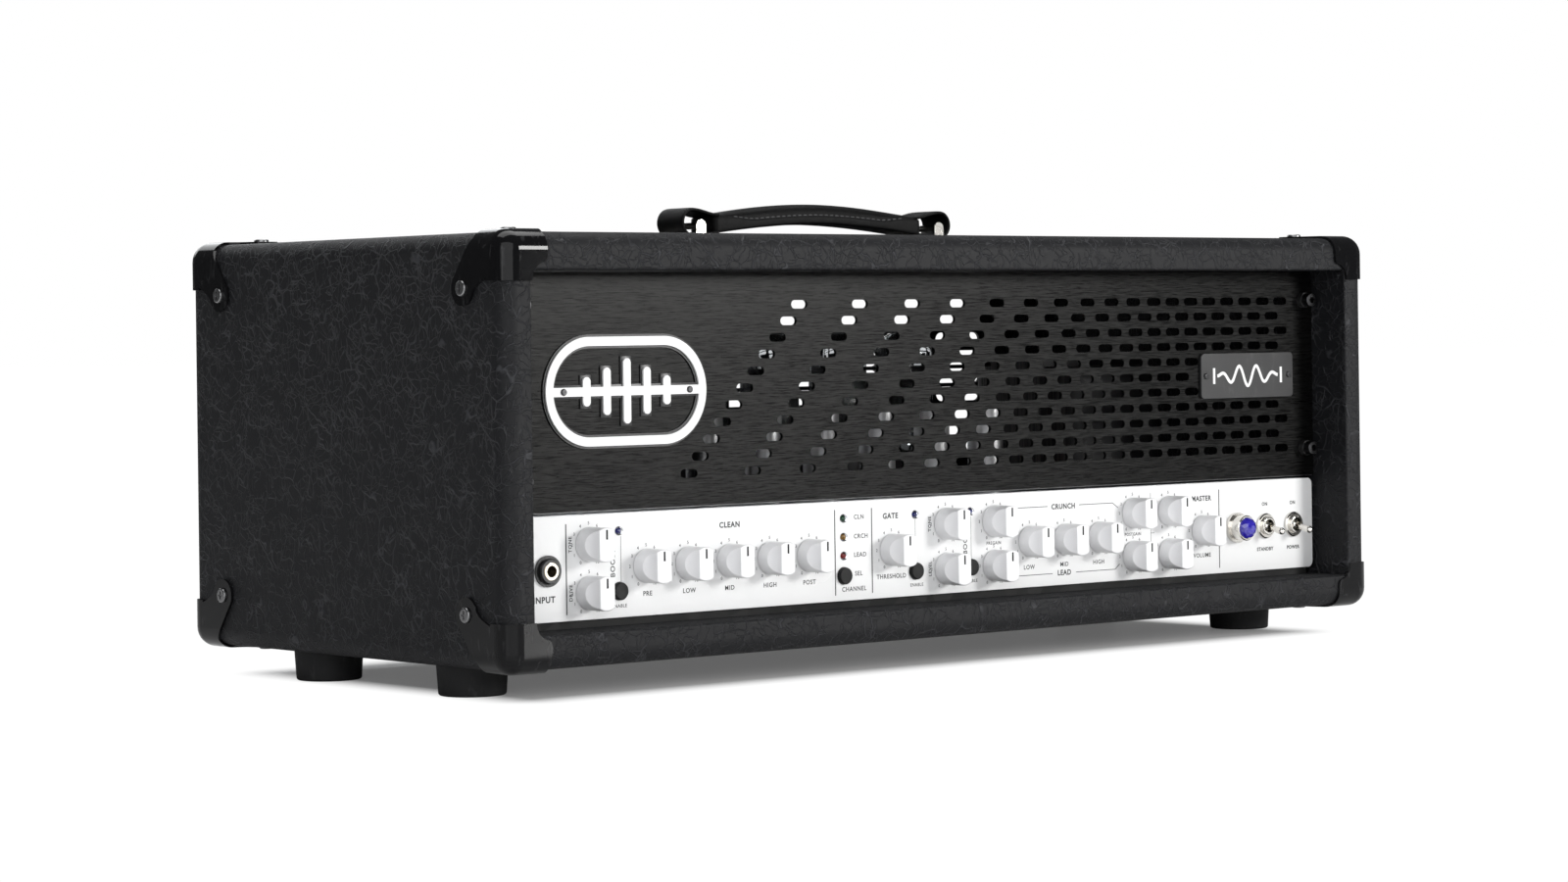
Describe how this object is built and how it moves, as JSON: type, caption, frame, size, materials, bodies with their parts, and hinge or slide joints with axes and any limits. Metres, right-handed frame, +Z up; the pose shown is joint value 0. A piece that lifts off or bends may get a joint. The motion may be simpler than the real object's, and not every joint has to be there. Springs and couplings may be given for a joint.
{
  "type": "guitar amplifier head",
  "caption": "Valve guitar amplifier head: vinyl-covered box on rubber feet, strap handle, slotted front grille, white control panel with turning knobs and switches.",
  "frame": {"origin": "on the floor plane, under the middle of the whole head", "axes": "+X to the right seen from the front, +Y from front to back, +Z up"},
  "size_m": [0.6922, 0.3172, 0.2761],
  "materials": {
    "tolex": "grained vinyl covering",
    "cap_black": "semi-gloss",
    "black_screw": "satin",
    "rubber": "matt",
    "zinc": "zinc plated",
    "grille_black": "brushed, black anodised",
    "spacer_grey": "satin",
    "badge_black": "satin",
    "emblem_white": "satin",
    "panel_white": "smooth satin",
    "chassis_steel": "zinc plated",
    "board_green": "satin",
    "pot_metal": "plated",
    "switch_plastic": "satin",
    "light_clear": "clear",
    "nickel": "polished",
    "jewel_violet": "faceted",
    "ceramic": "glazed",
    "valve_glass": "clear",
    "shield_aluminium": "satin",
    "transformer_black": "satin",
    "rear_black": "powder coated",
    "inlet_black": "moulded",
    "strap_leather": "soft grained",
    "knob_white": "moulded, satin",
    "button_black": "satin"
  },
  "bodies": {
    "cabinet": {"cabinet_shell": "tolex", "corner_caps": "cap_black", "corner_screws": "black_screw", "feet": "rubber", "foot_screws": "zinc", "grille_plate": "grille_black", "grille_screws": "black_screw", "grille_spacers": "spacer_grey", "name_badge": "badge_black", "front_emblem": "emblem_white", "badge_screws": "black_screw", "control_panel": "panel_white", "chassis": "chassis_steel", "circuit_board": "board_green", "potentiometers": "pot_metal", "push_switches": "switch_plastic", "indicator_lights": "light_clear", "toggle_switches": "nickel", "toggle_nuts": "nickel", "pilot_bezel": "nickel", "pilot_jewel": "jewel_violet", "input_jack": "nickel", "valve_sockets": "ceramic", "power_valves": "valve_glass", "small_valves": "shield_aluminium", "power_transformer": "transformer_black", "output_transformer": "transformer_black", "rear_grille": "rear_black", "rear_screws": "black_screw", "rear_jacks": "nickel", "mains_inlet": "inlet_black", "handle_brackets": "nickel", "handle_screws": "nickel"},
    "knob_boost_tone": {"knob_boost_tone": "knob_white"},
    "knob_boost_drive": {"knob_boost_drive": "knob_white"},
    "knob_clean_pre": {"knob_clean_pre": "knob_white"},
    "knob_clean_low": {"knob_clean_low": "knob_white"},
    "knob_clean_mid": {"knob_clean_mid": "knob_white"},
    "knob_clean_high": {"knob_clean_high": "knob_white"},
    "knob_clean_post": {"knob_clean_post": "knob_white"},
    "knob_gate_threshold": {"knob_gate_threshold": "knob_white"},
    "knob_second_tone": {"knob_second_tone": "knob_white"},
    "knob_second_level": {"knob_second_level": "knob_white"},
    "knob_crunch_pre": {"knob_crunch_pre": "knob_white"},
    "knob_lead_pre": {"knob_lead_pre": "knob_white"},
    "knob_drive_low": {"knob_drive_low": "knob_white"},
    "knob_drive_mid": {"knob_drive_mid": "knob_white"},
    "knob_drive_high": {"knob_drive_high": "knob_white"},
    "knob_crunch_post": {"knob_crunch_post": "knob_white"},
    "knob_lead_post": {"knob_lead_post": "knob_white"},
    "knob_presence": {"knob_presence": "knob_white"},
    "knob_resonance": {"knob_resonance": "knob_white"},
    "knob_master_volume": {"knob_master_volume": "knob_white"},
    "button_boost": {"button_boost": "button_black"},
    "button_channel": {"button_channel": "button_black"},
    "button_gate": {"button_gate": "button_black"},
    "button_second": {"button_second": "button_black"},
    "lever_standby": {"lever_standby": "nickel"},
    "lever_power": {"lever_power": "nickel"},
    "handle_strap": {"handle_strap": "strap_leather"}
  },
  "joints": [
    {"name": "knob_boost_tone_turn", "type": "hinge", "parent": "cabinet", "child": "knob_boost_tone", "pos_m": [-0.2667, -0.129, 0.0827], "axis": [0, 1, 0], "range_deg": [-150, 150]},
    {"name": "knob_boost_drive_turn", "type": "hinge", "parent": "cabinet", "child": "knob_boost_drive", "pos_m": [-0.2667, -0.129, 0.0561], "axis": [0, 1, 0], "range_deg": [-150, 150]},
    {"name": "knob_clean_pre_turn", "type": "hinge", "parent": "cabinet", "child": "knob_clean_pre", "pos_m": [-0.2269, -0.129, 0.069], "axis": [0, 1, 0], "range_deg": [-150, 150]},
    {"name": "knob_clean_low_turn", "type": "hinge", "parent": "cabinet", "child": "knob_clean_low", "pos_m": [-0.1971, -0.129, 0.069], "axis": [0, 1, 0], "range_deg": [-150, 150]},
    {"name": "knob_clean_mid_turn", "type": "hinge", "parent": "cabinet", "child": "knob_clean_mid", "pos_m": [-0.1673, -0.129, 0.069], "axis": [0, 1, 0], "range_deg": [-150, 150]},
    {"name": "knob_clean_high_turn", "type": "hinge", "parent": "cabinet", "child": "knob_clean_high", "pos_m": [-0.1375, -0.129, 0.069], "axis": [0, 1, 0], "range_deg": [-150, 150]},
    {"name": "knob_clean_post_turn", "type": "hinge", "parent": "cabinet", "child": "knob_clean_post", "pos_m": [-0.1079, -0.129, 0.069], "axis": [0, 1, 0], "range_deg": [-150, 150]},
    {"name": "knob_gate_threshold_turn", "type": "hinge", "parent": "cabinet", "child": "knob_gate_threshold", "pos_m": [-0.0444, -0.129, 0.0693], "axis": [0, 1, 0], "range_deg": [-150, 150]},
    {"name": "knob_second_tone_turn", "type": "hinge", "parent": "cabinet", "child": "knob_second_tone", "pos_m": [-0.0012, -0.129, 0.0827], "axis": [0, 1, 0], "range_deg": [-150, 150]},
    {"name": "knob_second_level_turn", "type": "hinge", "parent": "cabinet", "child": "knob_second_level", "pos_m": [-0.0012, -0.129, 0.0561], "axis": [0, 1, 0], "range_deg": [-150, 150]},
    {"name": "knob_crunch_pre_turn", "type": "hinge", "parent": "cabinet", "child": "knob_crunch_pre", "pos_m": [0.0378, -0.129, 0.0827], "axis": [0, 1, 0], "range_deg": [-150, 150]},
    {"name": "knob_lead_pre_turn", "type": "hinge", "parent": "cabinet", "child": "knob_lead_pre", "pos_m": [0.0378, -0.129, 0.0561], "axis": [0, 1, 0], "range_deg": [-150, 150]},
    {"name": "knob_drive_low_turn", "type": "hinge", "parent": "cabinet", "child": "knob_drive_low", "pos_m": [0.0676, -0.129, 0.0691], "axis": [0, 1, 0], "range_deg": [-150, 150]},
    {"name": "knob_drive_mid_turn", "type": "hinge", "parent": "cabinet", "child": "knob_drive_mid", "pos_m": [0.0969, -0.129, 0.0691], "axis": [0, 1, 0], "range_deg": [-150, 150]},
    {"name": "knob_drive_high_turn", "type": "hinge", "parent": "cabinet", "child": "knob_drive_high", "pos_m": [0.1265, -0.129, 0.0691], "axis": [0, 1, 0], "range_deg": [-150, 150]},
    {"name": "knob_crunch_post_turn", "type": "hinge", "parent": "cabinet", "child": "knob_crunch_post", "pos_m": [0.1563, -0.129, 0.0827], "axis": [0, 1, 0], "range_deg": [-150, 150]},
    {"name": "knob_lead_post_turn", "type": "hinge", "parent": "cabinet", "child": "knob_lead_post", "pos_m": [0.1563, -0.129, 0.0561], "axis": [0, 1, 0], "range_deg": [-150, 150]},
    {"name": "knob_presence_turn", "type": "hinge", "parent": "cabinet", "child": "knob_presence", "pos_m": [0.188, -0.129, 0.0827], "axis": [0, 1, 0], "range_deg": [-150, 150]},
    {"name": "knob_resonance_turn", "type": "hinge", "parent": "cabinet", "child": "knob_resonance", "pos_m": [0.188, -0.129, 0.0561], "axis": [0, 1, 0], "range_deg": [-150, 150]},
    {"name": "knob_master_volume_turn", "type": "hinge", "parent": "cabinet", "child": "knob_master_volume", "pos_m": [0.218, -0.129, 0.0693], "axis": [0, 1, 0], "range_deg": [-150, 150]},
    {"name": "button_boost_press", "type": "slide", "parent": "cabinet", "child": "button_boost", "axis": [0, 1, 0], "range_m": [0, 0.0016], "stiffness_N_per_m": 600, "springref_m": -0.0005},
    {"name": "button_channel_press", "type": "slide", "parent": "cabinet", "child": "button_channel", "axis": [0, 1, 0], "range_m": [0, 0.0016], "stiffness_N_per_m": 600, "springref_m": -0.0005},
    {"name": "button_gate_press", "type": "slide", "parent": "cabinet", "child": "button_gate", "axis": [0, 1, 0], "range_m": [0, 0.0016], "stiffness_N_per_m": 600, "springref_m": -0.0005},
    {"name": "button_second_press", "type": "slide", "parent": "cabinet", "child": "button_second", "axis": [0, 1, 0], "range_m": [0, 0.0016], "stiffness_N_per_m": 600, "springref_m": -0.0005},
    {"name": "lever_standby_flip", "type": "hinge", "parent": "cabinet", "child": "lever_standby", "pos_m": [0.2763, -0.13, 0.0696], "axis": [-1, 0, 0], "range_deg": [0, 26]},
    {"name": "lever_power_flip", "type": "hinge", "parent": "cabinet", "child": "lever_power", "pos_m": [0.3025, -0.13, 0.0696], "axis": [-1, 0, 0], "range_deg": [0, 26]},
    {"name": "handle_lift", "type": "slide", "parent": "cabinet", "child": "handle_strap", "axis": [0, 0, 1], "range_m": [0, 0.0023]}
  ]
}
